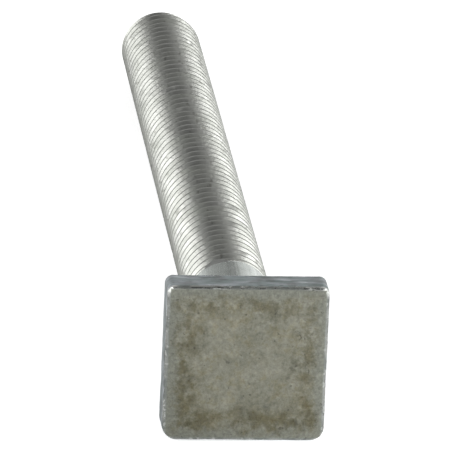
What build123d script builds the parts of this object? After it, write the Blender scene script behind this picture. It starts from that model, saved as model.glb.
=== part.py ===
from build123d import *

import os
from math import atan, cos, degrees

os.makedirs("parts", exist_ok=True)

# A square head machine screw, cold headed and thread rolled from one piece of steel wire.
# It lies on one side of its head and on the end of its thread, with the head towards -Y.
# All sizes are in millimetres.

# Shank and thread: 5/16 inch, 18 turns to the inch, 3 3/4 inches under the head
thread_diameter = 7.94
thread_pitch = 25.4 / 18
shank_length = 95.25          # from under the head to the end
plain_length = 13.2           # without thread, under the head
thread_start_angle = -97      # where the groove begins, round the shank from the X axis
groove_depth = 0.5            # as drawn, for a light model; the real groove is 0.87 deep
end_chamfer_length = 1.8      # along the screw, where the crests fall away at the end
end_chamfer_depth = 1.0       # off the radius, at the end

# Head
head_width = 14.7             # across the flats, both ways
head_thickness = 3.25
head_corner_radius = 1.0      # of the four corners, seen from the end
face_edge_chamfer = 0.3       # round the outer face
bearing_edge_chamfer = 0.15   # round the face that bears on the work
neck_cone = 0.35              # where the shank widens into the head

crest_radius = thread_diameter / 2
root_radius = crest_radius - groove_depth


def one_turn(height, start_radius, end_radius):
    """One right-handed turn of a helix, rising by the pitch, on a cylinder or a cone."""
    cone_angle = atan((end_radius - start_radius) / thread_pitch)
    return Edge.make_helix(
        pitch=thread_pitch / cos(cone_angle),
        height=thread_pitch,
        radius=start_radius,
        center=(0, 0, height),
        angle=degrees(cone_angle),
    )


def make_threaded_bar(turns):
    """Plain shank and thread in one skin, from the middle of the head up.

    The groove has no depth where it begins and its full depth one turn on, as a rolled
    thread has where it runs out. Above the last turn the bar is plain again.
    """
    foot_height = -head_thickness / 2
    bar_top = plain_length + (turns + 1) * thread_pitch
    foot = Edge.make_circle(crest_radius, Plane.XY.offset(foot_height))
    thread_start = Edge.make_circle(crest_radius, Plane.XY.offset(plain_length))
    top = Edge.make_circle(crest_radius, Plane.XY.offset(bar_top))
    crests = [
        one_turn(plain_length + n * thread_pitch, crest_radius, crest_radius)
        for n in range(turns + 1)
    ]
    skin = [
        Face(Wire([foot])),
        Face.extrude(foot, (0, 0, plain_length - foot_height)),
        Face.make_surface_from_curves(thread_start, crests[0]),
    ]
    for n in range(turns):
        root = one_turn(
            plain_length + (n + 0.5) * thread_pitch,
            crest_radius if n == 0 else root_radius,
            crest_radius if n == turns - 1 else root_radius,
        )
        skin.append(Face.make_surface_from_curves(crests[n], root))
        skin.append(Face.make_surface_from_curves(root, crests[n + 1]))
    skin.append(Face.make_surface_from_curves(crests[turns], top))
    skin.append(Face(Wire([top])))
    return Rot(Z=thread_start_angle) * Solid(Shell(skin))


def make_end_envelope():
    """A wide cylinder whose upper end is the cone and flat face of the screw's end."""
    wide_radius = 2 * crest_radius
    widening = wide_radius - crest_radius + end_chamfer_depth
    cone_length = widening * end_chamfer_length / end_chamfer_depth
    half_section = Polyline(
        (0, -head_thickness),
        (wide_radius, -head_thickness),
        (wide_radius, shank_length - cone_length),
        (crest_radius - end_chamfer_depth, shank_length),
        (0, shank_length),
        close=True,
    )
    return revolve(Plane.XZ * make_face(half_section), Axis.Z)


def make_shank():
    """The bar with two turns to spare, cut off to the shape of the end."""
    turns = int((shank_length - plain_length) / thread_pitch) + 2
    return make_threaded_bar(turns) & make_end_envelope()


def make_head():
    """The square head below height 0, with the neck that carries it on the shank."""
    outline = RectangleRounded(head_width, head_width, head_corner_radius)
    head = extrude(outline, -head_thickness)
    head = chamfer(head.faces().sort_by(Axis.Z)[0].edges(), face_edge_chamfer)
    head = chamfer(head.faces().sort_by(Axis.Z)[-1].edges(), bearing_edge_chamfer)
    neck = Cone(
        crest_radius + neck_cone,
        crest_radius,
        neck_cone,
        align=(Align.CENTER, Align.CENTER, Align.MIN),
    )
    return head + neck


def lay_down(screw):
    """Lay the upright screw on one side of its head and on the last full crest."""
    drop = head_width / 2 - crest_radius
    span = bearing_edge_chamfer + shank_length - end_chamfer_length
    lying = Rot(X=-90 - degrees(atan(drop / span))) * screw
    box = lying.bounding_box()
    return Pos(-box.center().X, -box.center().Y, -box.min.Z) * lying


square_head_screw = lay_down(make_head() + make_shank())
export_step(square_head_screw, "parts/square_head_screw.step")
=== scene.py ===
from math import atan, atan2, cos, degrees, pi, radians, sin, tan

import bmesh
import bpy
from mathutils import Matrix, Vector


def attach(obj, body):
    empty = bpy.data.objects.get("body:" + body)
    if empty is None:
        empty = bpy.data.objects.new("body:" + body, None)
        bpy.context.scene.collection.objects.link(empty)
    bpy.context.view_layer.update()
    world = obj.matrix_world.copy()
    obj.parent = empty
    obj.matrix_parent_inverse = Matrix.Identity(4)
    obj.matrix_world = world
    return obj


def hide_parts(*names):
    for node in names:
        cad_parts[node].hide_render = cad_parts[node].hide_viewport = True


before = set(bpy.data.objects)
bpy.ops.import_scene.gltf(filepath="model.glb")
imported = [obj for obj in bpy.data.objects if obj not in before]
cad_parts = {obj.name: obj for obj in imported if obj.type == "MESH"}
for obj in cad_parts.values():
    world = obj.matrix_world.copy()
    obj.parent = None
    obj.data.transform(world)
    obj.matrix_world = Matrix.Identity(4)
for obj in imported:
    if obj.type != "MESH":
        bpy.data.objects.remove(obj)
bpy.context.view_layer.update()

# The screw is modelled upright in millimetres, with the bearing face of its head at height 0,
# its shank going up, and its Y axis towards the floor. It is laid down in metres at the end.

# Shank and thread, in mm
CREST_RADIUS = 3.97
PITCH = 25.4 / 18
SHANK_LENGTH = 95.25
GROOVE_DEPTH = 0.87
CREST_FLAT = 0.18              # an eighth of the pitch, as the standard has it
CREST_ROUNDING = 0.10
THREAD_UNDERSIZE = 0.015       # of the crests, against the plain shank
THREAD_START_ANGLE = -97       # degrees round the shank, of a crest that starts at THREAD_START
THREAD_START = 13.48
RUN_OUT_START = 14.15          # where the plain shank begins to give way to the groove
RUN_OUT_LENGTH = 1.7
RUN_OUT_CLEARANCE = 0.05       # of the run-out cone's end, inside the thread's root
THREAD_FOOT = RUN_OUT_START - 0.4  # where the thread is cut off, inside the plain shank
TONGUE_ANGLE = -110            # degrees round the shank
TONGUE_HALF_WIDTHS = (14, 8)   # degrees, of its foot and of its tip
TONGUE_LENGTH = 0.9
NICKED_BAND = 0.03             # of the thread's crests, below which there are no nicks
END_CHAMFER_LENGTH = 1.8
END_CHAMFER_DEPTH = 1.0
STEPS_PER_TURN = 72            # of the thread
ROUND_STEPS = 96               # of the plain shank
NECK_RING = 0.1                # from the neck, of a ring that keeps the straight shank's shading
RUN_OUT_RING = 0.2             # from the run-out, of another

# Head, in mm
HEAD_WIDTH = 14.7
HEAD_THICKNESS = 3.25
NECK_RADIUS = 0.35
NECK_TURNS = (30, 60, 90)      # degrees, of the steps that round its fillet
FACE_EDGE_ROUNDING = 0.42
BACK_EDGE_ROUNDING = 0.15
HEAD_CUTS = {"x": 48, "y": 48, "z": 8}
WORN_FLAT_TILT = 35            # degrees off the face, of the flats on its two upper corners
WORN_FLAT_TURNS = (2, 15, 28, 41)  # degrees round each, from the head's side towards its top
WORN_FLAT_DEPTH = 0.025
CORNER_RADII = {(-1, -1): 0.75, (1, -1): 0.75, (-1, 1): 1.35, (1, 1): 1.25}
CORNER_STEPS = 8
FACE_EDGE_STEPS = 5
BACK_EDGE_STEPS = 3

PICK_TOLERANCE = 0.001         # in mm
CUT_TOLERANCE = 0.0001         # in mm
SEAM_MERGE = 0.001             # in mm, between the turns of the thread
SLIVER_MERGE = 0.0005          # in mm, where the pieces were joined
SMOOTH_ANGLE = 35              # degrees, over which an edge stays sharp

# Where the screw lies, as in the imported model: how far its axis dips, in radians, and the middle
# of its bearing face, in metres, moved 0.0004 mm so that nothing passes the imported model's box
RESTING_SPAN = BACK_EDGE_ROUNDING + SHANK_LENGTH - END_CHAMFER_LENGTH
LEAN = atan((HEAD_WIDTH / 2 - CREST_RADIUS) / RESTING_SPAN)
BEARING_CENTRE = Vector((0, -0.0458968, 0.0073398))

# Camera, in metres, from a fit to the photo's outline
CAMERA_PLACE = Vector((-0.070966, -0.725462, 0.269633))
CAMERA_FORWARD = Vector((0.09475, 0.9342, -0.34395))
CAMERA_UP = Vector((-0.01151, 0.34651, 0.93798))
CAMERA_LENS = 647.6            # in mm, on a sensor 36 mm wide


def add_camera():
    forward = CAMERA_FORWARD.normalized()
    right = forward.cross(CAMERA_UP).normalized()
    up = right.cross(forward)
    data = bpy.data.cameras.new("photo_camera")
    data.sensor_width = 36
    data.lens = CAMERA_LENS
    data.clip_start = 0.05
    data.clip_end = 20
    camera = bpy.data.objects.new("photo_camera", data)
    bpy.context.scene.collection.objects.link(camera)
    camera.location = CAMERA_PLACE
    camera.rotation_mode = "QUATERNION"
    turn = Matrix((right, up, -forward)).transposed()
    camera.rotation_quaternion = turn.to_quaternion()
    bpy.context.scene.camera = camera


add_camera()


# Small steps of the modelling

def only(obj):
    """Selects one object alone and makes it active."""
    bpy.ops.object.select_all(action="DESELECT")
    obj.select_set(True)
    bpy.context.view_layer.objects.active = obj


def edit(obj):
    """Goes into edit mode on one object, with nothing selected."""
    only(obj)
    bpy.ops.object.mode_set(mode="EDIT")
    bpy.ops.mesh.select_mode(type="VERT")
    bpy.ops.mesh.select_all(action="DESELECT")


def done():
    bpy.ops.object.mode_set(mode="OBJECT")


def pick(obj, kind, test):
    """In edit mode, selects the verts, edges or faces that pass the test, and nothing else."""
    bpy.ops.mesh.select_mode(type={"verts": "VERT", "edges": "EDGE", "faces": "FACE"}[kind])
    bpy.ops.mesh.select_all(action="DESELECT")
    mesh = bmesh.from_edit_mesh(obj.data)
    for item in getattr(mesh, kind):
        if test(item):
            item.select_set(True)
    bmesh.update_edit_mesh(obj.data)


def middle(edge):
    return (edge.verts[0].co + edge.verts[1].co) / 2


def extrude(x=0, y=0, z=0):
    bpy.ops.mesh.extrude_region_move(TRANSFORM_OT_translate={"value": (x, y, z)})


def resize(factor, height):
    bpy.ops.transform.resize(value=(factor, factor, 1), center_override=(0, 0, height))


def round_off(radius, steps):
    bpy.ops.mesh.bevel(offset=radius, segments=steps, affect="EDGES", clamp_overlap=False)


def combine(obj, tool, operation):
    """Joins or cuts obj with tool, which is then gone."""
    only(obj)
    cut = obj.modifiers.new(operation, "BOOLEAN")
    cut.operation = operation
    cut.solver = "EXACT"
    cut.object = tool
    bpy.ops.object.modifier_apply(modifier=cut.name)
    bpy.data.objects.remove(tool)


def dent(obj, name, size, low, high, depth, test):
    """Presses the verts that pass the test inwards, by a cloudy pattern.

    Its size and its greatest depth are in mm. The whole depth is where the pattern is under low,
    and none where it is over high.
    """
    pattern = bpy.data.textures.new(name, "CLOUDS")
    pattern.noise_scale = size
    pattern.noise_depth = 2
    pattern.use_color_ramp = True
    ramp = pattern.color_ramp.elements
    ramp[0].position, ramp[0].color = low, (0, 0, 0, 1)
    ramp[1].position, ramp[1].color = high, (1, 1, 1, 1)
    only(obj)
    group = obj.vertex_groups.new(name=name)
    group.add([v.index for v in obj.data.vertices if test(v)], 1.0, "REPLACE")
    press = obj.modifiers.new(name, "DISPLACE")
    press.texture = pattern
    press.texture_coords = "LOCAL"
    press.vertex_group = name
    press.mid_level = 1.0
    press.strength = depth
    bpy.ops.object.modifier_apply(modifier=press.name)
    obj.vertex_groups.clear()


# Thread

def thread_profile():
    """(radius, height) of the thread's surface over one pitch, with height 0 at mid-crest."""
    radius = CREST_RADIUS - THREAD_UNDERSIZE
    flank = radians(30)
    root_rounding = (PITCH - CREST_FLAT) / 2 / tan(flank) - GROOVE_DEPTH
    tangent = CREST_ROUNDING * tan(flank)
    crest_edge = CREST_FLAT / 2 - tangent
    half = [(0, crest_edge)]
    half += [
        (CREST_ROUNDING * (1 - cos(turn)), crest_edge + CREST_ROUNDING * sin(turn))
        for turn in (radians(30), radians(60))
    ]
    bottom_centre = GROOVE_DEPTH - root_rounding
    half += [
        (bottom_centre + root_rounding * cos(turn), PITCH / 2 - root_rounding * sin(turn))
        for turn in (radians(60), radians(30))
    ]
    bottom = [(GROOVE_DEPTH, PITCH / 2)]
    other_half = [(depth, PITCH - height) for depth, height in reversed(half)]
    points = half + bottom + other_half + [(0, PITCH + crest_edge)]
    return [(radius - depth, height) for depth, height in points]


def make_thread():
    """The profile swept round and up, with two turns to spare at each end, then cut to length."""
    turns = int((SHANK_LENGTH - THREAD_START) / PITCH) + 4
    points = thread_profile()
    low = THREAD_START - 2 * PITCH
    bpy.ops.object.select_all(action="DESELECT")
    bpy.ops.mesh.primitive_plane_add(size=0.01, location=(0, 0, 0))
    thread = bpy.context.object
    thread.name = "thread"
    # the profile is drawn from one vertex, which is all that is left of the plane
    edit(thread)
    bpy.ops.mesh.select_all(action="SELECT")
    bpy.ops.mesh.merge(type="CENTER")
    bpy.ops.transform.translate(value=(points[0][0], 0, low + points[0][1]))
    for (r0, z0), (r1, z1) in zip(points, points[1:]):
        extrude(r1 - r0, 0, z1 - z0)
    done()
    sweep = thread.modifiers.new("Sweep", "SCREW")
    sweep.axis = "Z"
    sweep.angle = 2 * pi
    sweep.screw_offset = PITCH
    sweep.iterations = turns
    sweep.steps = STEPS_PER_TURN
    sweep.render_steps = STEPS_PER_TURN
    sweep.use_merge_vertices = False
    sweep.use_smooth_shade = False
    bpy.ops.object.modifier_apply(modifier=sweep.name)
    edit(thread)
    bpy.ops.mesh.select_all(action="SELECT")
    bpy.ops.mesh.remove_doubles(threshold=SEAM_MERGE)
    bpy.ops.mesh.select_all(action="SELECT")
    bpy.ops.transform.rotate(
        value=radians(-THREAD_START_ANGLE),
        orient_axis="Z",
        center_override=(0, 0, 0),
    )
    for height, outer in ((THREAD_FOOT, False), (SHANK_LENGTH, True)):
        bpy.ops.mesh.select_all(action="SELECT")
        bpy.ops.mesh.bisect(
            plane_co=(0, 0, height),
            plane_no=(0, 0, 1),
            use_fill=True,
            clear_inner=not outer,
            clear_outer=outer,
            threshold=CUT_TOLERANCE,
        )
    bpy.ops.mesh.select_all(action="SELECT")
    bpy.ops.mesh.normals_make_consistent(inside=False)
    done()
    nicked = CREST_RADIUS - THREAD_UNDERSIZE - NICKED_BAND
    dent(
        thread,
        "crest_nicks",
        size=0.5,
        low=0.15,
        high=0.33,
        depth=0.045,
        test=lambda v: v.co.xy.length > nicked,
    )
    return thread


def make_end_envelope():
    """A wide bar that narrows to the end chamfer's cone, to cut the thread with."""
    wide = 2 * CREST_RADIUS
    slope = END_CHAMFER_DEPTH / END_CHAMFER_LENGTH
    cone_low = SHANK_LENGTH - (wide - CREST_RADIUS + END_CHAMFER_DEPTH) / slope
    bpy.ops.object.select_all(action="DESELECT")
    bpy.ops.mesh.primitive_cylinder_add(
        vertices=ROUND_STEPS,
        radius=wide,
        depth=cone_low,
        location=(0, 0, cone_low / 2),
    )
    bar = bpy.context.object
    bpy.ops.object.transform_apply(location=True, rotation=True, scale=True)
    edit(bar)
    pick(bar, "faces", lambda f: f.normal.z > 0.9)
    over = 1.0                 # past the end, so that no two faces lie in one plane
    extrude(0, 0, SHANK_LENGTH + over - cone_low)
    end_radius = CREST_RADIUS - END_CHAMFER_DEPTH - over * slope
    resize(end_radius / wide, SHANK_LENGTH + over)
    done()
    return bar


# Head and plain shank

def make_plain_shank():
    """The neck, the plain shank and the cone that the thread runs out on."""
    bpy.ops.object.select_all(action="DESELECT")
    bpy.ops.mesh.primitive_cylinder_add(
        vertices=ROUND_STEPS,
        radius=CREST_RADIUS + NECK_RADIUS,
        depth=HEAD_THICKNESS / 2,
        location=(0, 0, -HEAD_THICKNESS / 4),
    )
    shank = bpy.context.object
    shank.name = "plain_shank"
    bpy.ops.object.transform_apply(location=True, rotation=True, scale=True)
    edit(shank)
    pick(shank, "faces", lambda f: f.normal.z > 0.9)
    # the neck is a quarter-round fillet
    radius, height = CREST_RADIUS + NECK_RADIUS, 0
    for turn in NECK_TURNS:
        next_radius = CREST_RADIUS + NECK_RADIUS * (1 - sin(radians(turn)))
        next_height = NECK_RADIUS * (1 - cos(radians(turn)))
        extrude(0, 0, next_height - height)
        resize(next_radius / radius, next_height)
        radius, height = next_radius, next_height
    for next_height in (height + NECK_RING, RUN_OUT_START - RUN_OUT_RING, RUN_OUT_START):
        extrude(0, 0, next_height - height)
        height = next_height
    cone_end = CREST_RADIUS - GROOVE_DEPTH - RUN_OUT_CLEARANCE
    extrude(0, 0, RUN_OUT_LENGTH)
    resize(cone_end / CREST_RADIUS, RUN_OUT_START + RUN_OUT_LENGTH)
    # where the rolling began, the plain shank reaches farther between the first two crests: the
    # run-out's first ring is moved up in two steps, and the second takes in what the first moved
    step = TONGUE_LENGTH / 2
    low, high = RUN_OUT_START - PICK_TOLERANCE, RUN_OUT_START + step + PICK_TOLERANCE
    for half_width in TONGUE_HALF_WIDTHS:
        pick(
            shank,
            "verts",
            lambda v: low < v.co.z < high
            and abs(degrees(atan2(v.co.y, v.co.x)) - TONGUE_ANGLE) < half_width,
        )
        bpy.ops.transform.translate(value=(0, 0, step))
    done()
    return shank


def wear_flat(head, direction, depth):
    """Rubs a small flat on what reaches farthest in that direction."""
    outward = Vector(direction).normalized()
    reach = max(outward.dot(vert.co) for vert in head.data.vertices)
    edit(head)
    bpy.ops.mesh.select_all(action="SELECT")
    bpy.ops.mesh.bisect(
        plane_co=outward * (reach - depth),
        plane_no=outward,
        use_fill=True,
        clear_outer=True,
        threshold=CUT_TOLERANCE,
    )
    done()


def make_head():
    """The square plate, with its own radius at each corner as the photo shows."""
    bpy.ops.object.select_all(action="DESELECT")
    bpy.ops.mesh.primitive_cube_add(size=1, location=(0, 0, 0))
    head = bpy.context.object
    head.name = "square_head"
    edit(head)
    bpy.ops.mesh.select_all(action="SELECT")
    size = (HEAD_WIDTH, HEAD_WIDTH, HEAD_THICKNESS)
    bpy.ops.transform.resize(value=size, center_override=(0, 0, 0))
    bpy.ops.transform.translate(value=(0, 0, -HEAD_THICKNESS / 2))
    for (side_x, side_y), radius in CORNER_RADII.items():
        pick(
            head,
            "edges",
            lambda e: abs(e.verts[0].co.z - e.verts[1].co.z) > 1
            and middle(e).x * side_x > HEAD_WIDTH / 2 - PICK_TOLERANCE
            and middle(e).y * side_y > HEAD_WIDTH / 2 - PICK_TOLERANCE,
        )
        round_off(radius, CORNER_STEPS)
    for height, rounding, steps in (
        (-HEAD_THICKNESS, FACE_EDGE_ROUNDING, FACE_EDGE_STEPS),
        (0, BACK_EDGE_ROUNDING, BACK_EDGE_STEPS),
    ):
        pick(
            head,
            "edges",
            lambda e: all(abs(v.co.z - height) < PICK_TOLERANCE for v in e.verts),
        )
        round_off(rounding, steps)
    done()
    out, face = sin(radians(WORN_FLAT_TILT)), cos(radians(WORN_FLAT_TILT))
    for side in (-1, 1):
        for turn in WORN_FLAT_TURNS:
            direction = (side * out * cos(radians(turn)), -out * sin(radians(turn)), -face)
            wear_flat(head, direction, WORN_FLAT_DEPTH)
    # a grid of cuts, for the dents to show in
    edit(head)
    for side, count in HEAD_CUTS.items():
        extent = HEAD_THICKNESS if side == "z" else HEAD_WIDTH
        start = -HEAD_THICKNESS if side == "z" else -HEAD_WIDTH / 2
        for number in range(1, count):
            place = start + extent * number / count
            bpy.ops.mesh.select_all(action="SELECT")
            bpy.ops.mesh.bisect(
                plane_co=[place if axis == side else 0 for axis in "xyz"],
                plane_no=[1 if axis == side else 0 for axis in "xyz"],
                threshold=CUT_TOLERANCE,
            )
    done()
    dent(
        head,
        "forged_unevenness",
        size=1.6,
        low=0.1,
        high=0.9,
        depth=0.06,
        test=lambda v: True,
    )
    # nicks along the edges of the outer face, but not at its corners, which are worn smooth
    edge = HEAD_WIDTH / 2 - 0.5
    corner = HEAD_WIDTH / 2 - 1.5
    dent(
        head,
        "edge_nicks",
        size=0.42,
        low=0.20,
        high=0.38,
        depth=0.10,
        test=lambda v: v.co.z < -HEAD_THICKNESS + FACE_EDGE_ROUNDING
        and max(abs(v.co.x), abs(v.co.y)) > edge
        and min(abs(v.co.x), abs(v.co.y)) < corner,
    )
    return head


def lay_down(obj):
    """From upright in millimetres to its place on the floor in metres."""
    only(obj)
    obj.scale = (0.001, 0.001, 0.001)
    obj.rotation_euler = (-(pi / 2 + LEAN), 0, 0)
    obj.location = BEARING_CENTRE
    bpy.ops.object.transform_apply(location=True, rotation=True, scale=True)


def make_screw():
    screw = make_thread()
    combine(screw, make_end_envelope(), "INTERSECT")
    body = make_head()
    combine(body, make_plain_shank(), "UNION")
    combine(screw, body, "UNION")
    screw.name = "plated_screw"
    screw.data.name = "plated_screw"
    edit(screw)
    bpy.ops.mesh.select_all(action="SELECT")
    bpy.ops.mesh.remove_doubles(threshold=SLIVER_MERGE)
    # faces of many sides are split here, so that the exported mesh is closed too
    pick(screw, "faces", lambda f: len(f.verts) > 4)
    bpy.ops.mesh.quads_convert_to_tris(quad_method="BEAUTY", ngon_method="BEAUTY")
    done()
    lay_down(screw)
    only(screw)
    bpy.ops.object.shade_smooth_by_angle(angle=radians(SMOOTH_ANGLE))
    return screw


# Materials. A noise's scale is one over the size of its pattern, in mm.

def linear(hex_colour):
    """An sRGB hex colour as linear RGBA."""
    channels = [int(hex_colour[i : i + 2], 16) / 255 for i in (1, 3, 5)]
    return [c / 12.92 if c <= 0.04045 else ((c + 0.055) / 1.055) ** 2.4 for c in channels] + [1]


def add_node(tree, kind, inputs=None, stops=None, **settings):
    """Adds a node with its settings and links.

    An input takes a value, a hex colour, a node's output, or a node, which then gives its first
    output in use. Stops are the positions and hex colours of a colour ramp.
    """
    node = tree.nodes.new(kind)
    for name, value in settings.items():
        setattr(node, name, value)
    for name, value in (inputs or {}).items():
        if isinstance(value, bpy.types.Node):
            value = next(output for output in value.outputs if output.enabled)
        if isinstance(value, bpy.types.NodeSocket):
            tree.links.new(value, node.inputs[name])
        else:
            node.inputs[name].default_value = linear(value) if isinstance(value, str) else value
    if stops:
        ramp = node.color_ramp.elements
        ramp.remove(ramp[1])
        ramp[0].position, ramp[0].color = stops[0][0], linear(stops[0][1])
        for position, colour in stops[1:]:
            ramp.new(position).color = linear(colour)
    return node


def new_material(name):
    material = bpy.data.materials.new(name)
    material.use_nodes = True
    material.node_tree.nodes.clear()
    return material, material.node_tree


def upright(tree):
    """Object coordinates turned back to the upright screw, in millimetres."""
    place = add_node(tree, "ShaderNodeTexCoord")
    return add_node(
        tree,
        "ShaderNodeMapping",
        {
            "Vector": place.outputs["Object"],
            "Location": BEARING_CENTRE,
            "Rotation": (-(pi / 2 + LEAN), 0, 0),
            "Scale": (0.001, 0.001, 0.001),
        },
        vector_type="TEXTURE",
    )


def finish_metal(tree, colour, metal, rough, height, depth, edge_tint="#FFFFFF"):
    """The shader, with bump of that depth in mm from height. Edge tint is for glancing light."""
    bump = add_node(
        tree,
        "ShaderNodeBump",
        {"Strength": 1.0, "Distance": depth / 1000, "Height": height},
    )
    shader = add_node(
        tree,
        "ShaderNodeBsdfPrincipled",
        {
            "Base Color": colour,
            "Metallic": metal,
            "Roughness": rough,
            "Specular Tint": edge_tint,
            "Normal": bump,
        },
    )
    add_node(tree, "ShaderNodeOutputMaterial", {"Surface": shader})


def make_rolled_zinc():
    """Electroplated zinc over a rolled thread.

    Rolling leaves the brightest surface: a pale grey metal, a little clouded, with small dark
    marks on the crests, and grey dirt low in the groove that is darkened further as painted shade.
    """
    material, tree = new_material("zinc_plate_on_rolled_thread")
    where = upright(tree)
    clouds = add_node(
        tree,
        "ShaderNodeTexNoise",
        {"Vector": where, "Scale": 1 / 2.5, "Detail": 3},
    )
    plate = add_node(
        tree,
        "ShaderNodeValToRGB",
        {"Fac": clouds},
        [(0.3, "#9EA09A"), (0.7, "#ADAEAA")],
    )
    specks = add_node(
        tree,
        "ShaderNodeTexNoise",
        {"Vector": where, "W": 7, "Scale": 1 / 0.5, "Detail": 2},
        noise_dimensions="4D",
    )
    marks = add_node(
        tree,
        "ShaderNodeMapRange",
        {"Value": specks, "From Min": 0.60, "From Max": 0.72, "To Max": 0.55},
    )
    marked = add_node(tree, "ShaderNodeMix", {0: marks, 6: plate, 7: "#6A6A64"}, data_type="RGBA")
    across = add_node(tree, "ShaderNodeVectorMath", {0: where, 1: (1, 1, 0)}, operation="MULTIPLY")
    radius = add_node(tree, "ShaderNodeVectorMath", {0: across}, operation="LENGTH")
    # dirt and painted shade: darkest near the groove's root, where the groove is shaded, and gone
    # just below the crests
    dirt_and_groove_shade = add_node(
        tree,
        "ShaderNodeMapRange",
        {"Value": radius, "From Min": 3.2, "From Max": 3.8, "To Min": 0.45, "To Max": 0.0},
    )
    colour = add_node(tree, "ShaderNodeMix", {0: dirt_and_groove_shade, 6: marked, 7: "#55534C"}, data_type="RGBA")
    # the plate's own grain is a few hundredths of a mm, too fine to show, so it is drawn at 0.3
    grain = add_node(
        tree,
        "ShaderNodeTexNoise",
        {"Vector": where, "W": 3, "Scale": 1 / 0.3, "Detail": 2},
        noise_dimensions="4D",
    )
    rough = add_node(
        tree,
        "ShaderNodeMapRange",
        {"Value": clouds, "From Min": 0.3, "From Max": 0.7, "To Min": 0.40, "To Max": 0.31},
    )
    finish_metal(tree, colour, 1.0, rough, grain, 0.02, edge_tint="#B8B8BC")
    return material


def make_drawn_zinc():
    """Electroplated zinc over the drawn wire of the plain shank, and over the back of the head.

    It is smoother than the rest and faintly green, with fine drawing marks along the shank.
    """
    material, tree = new_material("zinc_plate_on_drawn_shank")
    where = upright(tree)
    clouds = add_node(
        tree,
        "ShaderNodeTexNoise",
        {"Vector": where, "W": 5, "Scale": 1 / 1.2, "Detail": 4},
        noise_dimensions="4D",
    )
    plate = add_node(
        tree,
        "ShaderNodeValToRGB",
        {"Fac": clouds},
        [(0.3, "#9DA39E"), (0.7, "#B0B6B1")],
    )
    # drawing marks are about 0.05 mm apart, too fine to show, so they are drawn at 0.3
    drawn = add_node(tree, "ShaderNodeMapping", {"Vector": where, "Scale": (1, 1, 0.08)})
    lines = add_node(tree, "ShaderNodeTexNoise", {"Vector": drawn, "Scale": 1 / 0.3, "Detail": 2})
    rough = add_node(
        tree,
        "ShaderNodeMapRange",
        {"Value": lines, "From Min": 0.3, "From Max": 0.7, "To Min": 0.20, "To Max": 0.32},
    )
    finish_metal(tree, plate, 1.0, rough, lines, 0.02)
    return material


def make_die_marked_zinc():
    """Electroplated zinc over the head's sides, which the heading die has pressed.

    They are bluish grey and duller, with die marks that run round the head and grey dirt in them.
    """
    material, tree = new_material("zinc_plate_on_die_marked_sides")
    where = upright(tree)
    # the marks are about 3 mm long round the head, and 0.36 mm apart
    round_head = add_node(tree, "ShaderNodeMapping", {"Vector": where, "Scale": (0.35, 0.35, 2.8)})
    marks = add_node(
        tree,
        "ShaderNodeTexNoise",
        {"Vector": round_head, "W": 2, "Scale": 1.0, "Detail": 5, "Roughness": 0.65},
        noise_dimensions="4D",
    )
    plate = add_node(
        tree,
        "ShaderNodeValToRGB",
        {"Fac": marks},
        [(0.36, "#959D9D"), (0.46, "#AFBCBA"), (0.54, "#C2C5CB"), (0.64, "#E2EAEA")],
    )
    patches = add_node(
        tree,
        "ShaderNodeTexNoise",
        {"Vector": where, "W": 9, "Scale": 1 / 1.8, "Detail": 4},
        noise_dimensions="4D",
    )
    dull = add_node(
        tree,
        "ShaderNodeMapRange",
        {"Value": patches, "From Min": 0.48, "From Max": 0.68, "To Max": 0.6},
    )
    colour = add_node(tree, "ShaderNodeMix", {0: dull, 6: plate, 7: "#7C7A75"}, data_type="RGBA")
    rough = add_node(
        tree,
        "ShaderNodeMapRange",
        {"Value": marks, "From Min": 0.3, "From Max": 0.7, "To Min": 0.34, "To Max": 0.48},
    )
    finish_metal(tree, colour, 1.0, rough, marks, 0.05, edge_tint="#B0B0B0")
    return material


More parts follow.
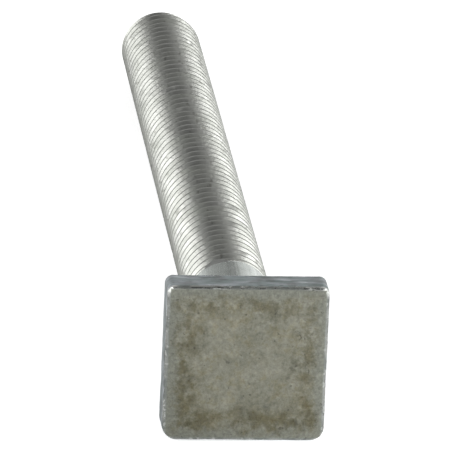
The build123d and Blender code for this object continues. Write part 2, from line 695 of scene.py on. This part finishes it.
def make_stained_zinc():
    """Electroplated zinc over the head's outer face, dulled by handling and damp.

    It is stained olive and brown in patches, darkest in a ring, and rubbed grey near its edges,
    which are worn smooth and bright.
    """
    material, tree = new_material("zinc_plate_stained_by_damp")
    where = upright(tree)
    apart = add_node(tree, "ShaderNodeVectorMath", {0: where}, operation="ABSOLUTE")
    sides = add_node(tree, "ShaderNodeSeparateXYZ", {0: apart})
    across, along = sides.outputs[0], sides.outputs[1]
    farther = add_node(tree, "ShaderNodeMath", {0: across, 1: along}, operation="MAXIMUM")
    from_edge = add_node(
        tree,
        "ShaderNodeMath",
        {0: HEAD_WIDTH / 2, 1: farther},
        operation="SUBTRACT",
    )

    # how far in the stain begins wanders by 0.7 mm either way
    wander = add_node(
        tree,
        "ShaderNodeTexNoise",
        {"Vector": where, "W": 21, "Scale": 1 / 1.3, "Detail": 6, "Roughness": 0.7},
        noise_dimensions="4D",
    )
    shift = add_node(
        tree,
        "ShaderNodeMapRange",
        {"Value": wander, "From Min": 0.3, "From Max": 0.7, "To Min": -0.7, "To Max": 0.7},
    )
    depth_in = add_node(tree, "ShaderNodeMath", {0: from_edge, 1: shift}, operation="ADD")
    inside = add_node(
        tree,
        "ShaderNodeMapRange",
        {"Value": depth_in, "From Min": 0.45, "From Max": 1.75},
        interpolation_type="SMOOTHSTEP",
    )
    ring = add_node(
        tree,
        "ShaderNodeMapRange",
        {"Value": depth_in, "From Min": 1.4, "From Max": 4.2, "To Min": 1.0, "To Max": 0.38},
        interpolation_type="SMOOTHSTEP",
    )

    # stain: broad olive clouds with other tints, a patchy darker ring, and fine grains
    broad = add_node(
        tree,
        "ShaderNodeTexNoise",
        {"Vector": where, "W": 1, "Scale": 1 / 2.6, "Detail": 4},
        noise_dimensions="4D",
    )
    olive = add_node(
        tree,
        "ShaderNodeValToRGB",
        {"Fac": broad},
        [(0.34, "#676859"), (0.66, "#9C9C8E")],
    )
    patches = add_node(
        tree,
        "ShaderNodeTexNoise",
        {"Vector": where, "W": 14, "Scale": 1 / 1.1, "Detail": 5, "Roughness": 0.65},
        noise_dimensions="4D",
    )
    patchiness = add_node(
        tree,
        "ShaderNodeMapRange",
        {"Value": patches, "From Min": 0.38, "From Max": 0.58, "To Min": 0.2, "To Max": 1.0},
    )
    # more of it to the lower left than to the upper right
    lean = add_node(
        tree,
        "ShaderNodeVectorMath",
        {0: where, 1: (-0.015, 0.03, 0)},
        operation="DOT_PRODUCT",
    )
    uneven = add_node(tree, "ShaderNodeMath", {0: patchiness, 1: lean}, operation="ADD")
    stains = add_node(
        tree,
        "ShaderNodeTexNoise",
        {"Vector": where, "W": 17, "Scale": 1 / 1.1, "Detail": 5, "Roughness": 0.65},
        noise_dimensions="4D",
    )
    tints = add_node(
        tree,
        "ShaderNodeValToRGB",
        {"Fac": stains},
        [
            (0.30, "#595E5C"),
            (0.42, "#75786E"),
            (0.52, "#85867B"),
            (0.60, "#7F7C62"),
            (0.72, "#74604E"),
        ],
    )
    tinted = add_node(tree, "ShaderNodeMix", {0: 0.55, 6: olive, 7: tints}, data_type="RGBA")
    # the stain's own grains are about 0.1 mm, too fine to show, so they are drawn at 0.4
    grains = add_node(
        tree,
        "ShaderNodeTexNoise",
        {"Vector": where, "W": 4, "Scale": 1 / 0.4, "Detail": 4, "Roughness": 0.8},
        noise_dimensions="4D",
    )
    shades = add_node(
        tree,
        "ShaderNodeValToRGB",
        {"Fac": grains},
        [(0.34, "#39372D"), (0.66, "#ADADA0")],
    )
    grain_amount = add_node(
        tree,
        "ShaderNodeMapRange",
        {"Value": ring, "From Min": 0.3, "To Min": 0.28, "To Max": 0.36},
    )
    grainy = add_node(
        tree,
        "ShaderNodeMix",
        {0: grain_amount, 6: tinted, 7: shades},
        data_type="RGBA",
    )
    ring_amount = add_node(
        tree,
        "ShaderNodeMath",
        {0: ring, 1: uneven},
        operation="MULTIPLY",
        use_clamp=True,
    )
    stain = add_node(
        tree,
        "ShaderNodeMix",
        {0: ring_amount, 6: grainy, 7: "#B8B29C"},
        data_type="RGBA",
        blend_type="MULTIPLY",
    )

    # the rubbed border, the bare rounded edge outside it, and small dark pits in all of it
    rubbed = add_node(
        tree,
        "ShaderNodeValToRGB",
        {"Fac": grains},
        [(0.3, "#61635C"), (0.7, "#8F9186")],
    )
    face = add_node(tree, "ShaderNodeMix", {0: inside, 6: rubbed, 7: stain}, data_type="RGBA")
    pits = add_node(
        tree,
        "ShaderNodeTexNoise",
        {"Vector": where, "W": 8, "Scale": 1 / 0.45, "Detail": 2},
        noise_dimensions="4D",
    )
    pitted = add_node(
        tree,
        "ShaderNodeMapRange",
        {"Value": pits, "From Min": 0.66, "From Max": 0.71, "To Max": 0.55},
    )
    edge = add_node(
        tree,
        "ShaderNodeMapRange",
        {"Value": from_edge, "From Min": 0.15, "From Max": 0.45, "To Min": 1.0, "To Max": 0.0},
        interpolation_type="SMOOTHSTEP",
    )
    rounded = add_node(tree, "ShaderNodeMix", {0: edge, 6: face, 7: "#696E6B"}, data_type="RGBA")
    dotted = add_node(
        tree,
        "ShaderNodeMix",
        {0: pitted, 6: rounded, 7: "#45433B"},
        data_type="RGBA",
    )

    # the edge is worn bright at its corners, where it was knocked, and dimmer in other places
    nearer = add_node(tree, "ShaderNodeMath", {0: across, 1: along}, operation="MINIMUM")
    corner = add_node(
        tree,
        "ShaderNodeMapRange",
        {"Value": nearer, "From Min": 6.2, "From Max": 6.7},
    )
    places = add_node(
        tree,
        "ShaderNodeMapRange",
        {"Value": patches, "From Min": 0.45, "From Max": 0.55, "To Min": 0.2, "To Max": 1.0},
    )
    knocks = add_node(
        tree,
        "ShaderNodeTexNoise",
        {"Vector": where, "W": 30, "Scale": 1 / 0.5, "Detail": 1},
        noise_dimensions="4D",
    )
    sparks = add_node(
        tree,
        "ShaderNodeMapRange",
        {"Value": knocks, "From Min": 0.62, "From Max": 0.67, "To Max": 0.7},
    )
    brightest = add_node(tree, "ShaderNodeMath", {0: corner, 1: sparks}, operation="MAXIMUM")
    where_worn = add_node(tree, "ShaderNodeMath", {0: brightest, 1: places}, operation="MAXIMUM")
    worn = add_node(tree, "ShaderNodeMath", {0: edge, 1: where_worn}, operation="MULTIPLY")
    bright = add_node(
        tree,
        "ShaderNodeMix",
        {0: brightest, 6: "#9A9C98", 7: "#D4D6D2"},
        data_type="RGBA",
    )
    colour = add_node(tree, "ShaderNodeMix", {0: worn, 6: dotted, 7: bright}, data_type="RGBA")
    dull_metal = add_node(
        tree,
        "ShaderNodeMapRange",
        {"Value": inside, "To Min": 0.85, "To Max": 0.45},
    )
    metal = add_node(tree, "ShaderNodeMath", {0: dull_metal, 1: worn}, operation="MAXIMUM")
    dull_rough = add_node(
        tree,
        "ShaderNodeMapRange",
        {"Value": inside, "To Min": 0.44, "To Max": 0.58},
    )
    rough = add_node(tree, "ShaderNodeMix", {0: worn, 2: dull_rough, 3: 0.20}, data_type="FLOAT")
    raised = add_node(tree, "ShaderNodeMath", {0: grains, 1: pitted}, operation="SUBTRACT")
    height = add_node(tree, "ShaderNodeMix", {0: worn, 2: raised, 3: 0.5}, data_type="FLOAT")
    finish_metal(tree, colour, metal, rough, height, 0.06)
    return material


def dress(screw):
    """One material for each finish, which reaches up to its height on the upright screw."""
    finishes = (
        (-HEAD_THICKNESS + FACE_EDGE_ROUNDING * 0.75, make_stained_zinc()),
        (-BACK_EDGE_ROUNDING / 2, make_die_marked_zinc()),
        (RUN_OUT_START, make_drawn_zinc()),
        (SHANK_LENGTH + 1, make_rolled_zinc()),
    )
    screw.data.materials.clear()
    for top, material in finishes:
        screw.data.materials.append(material)
    back = Matrix.Rotation(pi / 2 + LEAN, 4, "X") @ Matrix.Translation(-BEARING_CENTRE)
    for face in screw.data.polygons:
        height = (back @ face.center).z * 1000
        face.material_index = sum(height >= top for top, _ in finishes)


screw = make_screw()
dress(screw)
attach(screw, "root")
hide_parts("square_head_screw")


# Floor, background and light

FLOOR_RADIUS = 4               # in metres
FLOOR_GLOW = 0.58
FLOOR_LEFT = -0.006            # in metres, where the floor's painted shade, seen only in the metal, is darkest
FLOOR_RIGHT = 0.006            # and where it is brightest
FLOOR_SHOWN_LEFT = 0.20        # of its glow, in the metal
FLOOR_SHOWN_RIGHT = 0.84
WALL_LOW = 2                   # degrees above the horizon, where the white of the floor ends
WALL_HIGH = 13                 # and where the room's walls have their own shade
CEILING_LOW = 30               # degrees above the horizon, where the walls begin to fade
CEILING_HIGH = 60              # and where the ceiling has one shade
HORIZON_GLOW = 2.0
HORIZON_TOP = 10               # degrees above the horizon, where that glow has ended
DIM_DIRECTION = (-0.03, -0.79, 0.61)
DIM_INNER = 24                 # degrees from the middle of the dim opening
DIM_OUTER = 44
SOFTBOX_DISTANCE = 1.0         # in metres
SOFTBOX_HEIGHT = 0.7


def add_floor():
    """White paper that keeps the shadow, and glows a little where the eye or the metal sees it,
    with a painted shade left of the screw in what the metal sees.
    """
    bpy.ops.object.select_all(action="DESELECT")
    bpy.ops.mesh.primitive_circle_add(
        vertices=64,
        radius=FLOOR_RADIUS,
        fill_type="NGON",
        location=(0, 0, 0),
    )
    floor = bpy.context.object
    floor.name = "floor"
    material, tree = new_material("white_paper_floor")
    ray = add_node(tree, "ShaderNodeLightPath")
    seen = add_node(
        tree,
        "ShaderNodeMath",
        {0: ray.outputs["Is Camera Ray"], 1: ray.outputs["Is Transmission Ray"]},
        operation="MAXIMUM",
    )
    # the metal shows less of the glow than the eye sees, and least to the left of the screw, where
    # a painted shade stands in for the screw's shadow
    place = add_node(tree, "ShaderNodeTexCoord")
    parts = add_node(tree, "ShaderNodeSeparateXYZ", {0: place.outputs["Object"]})
    side = add_node(
        tree,
        "ShaderNodeMapRange",
        {
            "Value": parts.outputs["X"],
            "From Min": FLOOR_LEFT,
            "From Max": FLOOR_RIGHT,
            "To Min": FLOOR_SHOWN_LEFT,
            "To Max": FLOOR_SHOWN_RIGHT,
        },
        interpolation_type="SMOOTHSTEP",
    )
    reflected_glow_with_painted_shade = add_node(
        tree,
        "ShaderNodeMath",
        {0: ray.outputs["Is Glossy Ray"], 1: side},
        operation="MULTIPLY",
    )
    shown = add_node(tree, "ShaderNodeMath", {0: seen, 1: reflected_glow_with_painted_shade}, operation="MAXIMUM")
    glow = add_node(tree, "ShaderNodeMath", {0: shown, 1: FLOOR_GLOW}, operation="MULTIPLY")
    paper = add_node(tree, "ShaderNodeBsdfDiffuse", {"Color": "#F0F0F0"})
    light = add_node(tree, "ShaderNodeEmission", {"Color": "#FFFFFF", "Strength": glow})
    both = add_node(tree, "ShaderNodeAddShader", {0: paper, 1: light})
    add_node(tree, "ShaderNodeOutputMaterial", {"Surface": both})
    floor.data.materials.append(material)


def add_world():
    """A white room with greyer walls and a dim opening above the camera, which the metal shows."""
    world = bpy.data.worlds.new("pale_studio")
    bpy.context.scene.world = world
    world.use_nodes = True
    tree = world.node_tree
    tree.nodes.clear()
    direction = add_node(tree, "ShaderNodeTexCoord").outputs["Generated"]
    parts = add_node(tree, "ShaderNodeSeparateXYZ", {0: direction})
    rise = add_node(
        tree,
        "ShaderNodeMapRange",
        {
            "Value": parts.outputs["Z"],
            "From Min": sin(radians(WALL_LOW)),
            "From Max": sin(radians(WALL_HIGH)),
        },
        interpolation_type="SMOOTHSTEP",
    )
    # the walls' shades from left to right, by the direction's X from -1 to 1
    rightwards = add_node(
        tree,
        "ShaderNodeMapRange",
        {"Value": parts.outputs["X"], "From Min": -1.0},
    )
    walls = add_node(
        tree,
        "ShaderNodeValToRGB",
        {"Fac": rightwards},
        [
            (0.06, "#E6E6E6"),
            (0.28, "#B8B8B8"),
            (0.48, "#B4B4B4"),
            (0.52, "#9C9C9C"),
            (0.568, "#9A9A9A"),
            (0.608, "#FCFCFC"),
            (0.70, "#FCFCFC"),
            (0.80, "#C6C6C6"),
            (0.94, "#E6E6E6"),
        ],
    )
    overhead = add_node(
        tree,
        "ShaderNodeMapRange",
        {
            "Value": parts.outputs["Z"],
            "From Min": sin(radians(CEILING_LOW)),
            "From Max": sin(radians(CEILING_HIGH)),
        },
        interpolation_type="SMOOTHSTEP",
    )
    shades = add_node(
        tree,
        "ShaderNodeMix",
        {0: overhead, 6: walls, 7: "#C8C8C8"},
        data_type="RGBA",
    )
    room = add_node(tree, "ShaderNodeMix", {0: rise, 6: "#FFFFFF", 7: shades}, data_type="RGBA")
    aligned = add_node(
        tree,
        "ShaderNodeVectorMath",
        {0: direction, 1: Vector(DIM_DIRECTION).normalized()},
        operation="DOT_PRODUCT",
    )
    opening = add_node(
        tree,
        "ShaderNodeMapRange",
        {
            "Value": aligned,
            "From Min": cos(radians(DIM_OUTER)),
            "From Max": cos(radians(DIM_INNER)),
        },
        interpolation_type="SMOOTHSTEP",
    )
    seen = add_node(tree, "ShaderNodeMix", {0: opening, 6: room, 7: "#404040"}, data_type="RGBA")
    horizon = add_node(
        tree,
        "ShaderNodeMapRange",
        {
            "Value": parts.outputs["Z"],
            "From Max": sin(radians(HORIZON_TOP)),
            "To Min": HORIZON_GLOW,
            "To Max": 1.0,
        },
        interpolation_type="SMOOTHSTEP",
    )
    sky = add_node(tree, "ShaderNodeBackground", {"Color": seen, "Strength": horizon})
    add_node(tree, "ShaderNodeOutputWorld", {"Surface": sky})


def add_softbox(name, direction, width, power):
    light = bpy.data.lights.new(name, "AREA")
    light.shape = "RECTANGLE"
    light.size = width
    light.size_y = SOFTBOX_HEIGHT
    light.energy = power
    lamp = bpy.data.objects.new(name, light)
    bpy.context.scene.collection.objects.link(lamp)
    towards = Vector(direction).normalized()
    lamp.location = towards * SOFTBOX_DISTANCE
    lamp.rotation_mode = "QUATERNION"
    lamp.rotation_quaternion = towards.to_track_quat("Z", "Y")
    lamp.visible_camera = False


add_floor()
add_world()
add_softbox("softbox_left", (-0.68, -0.62, 0.39), width=0.74, power=4.6)
add_softbox("softbox_right", (0.69, -0.62, 0.38), width=0.76, power=5.5)
bpy.context.scene.view_settings.view_transform = "Standard"
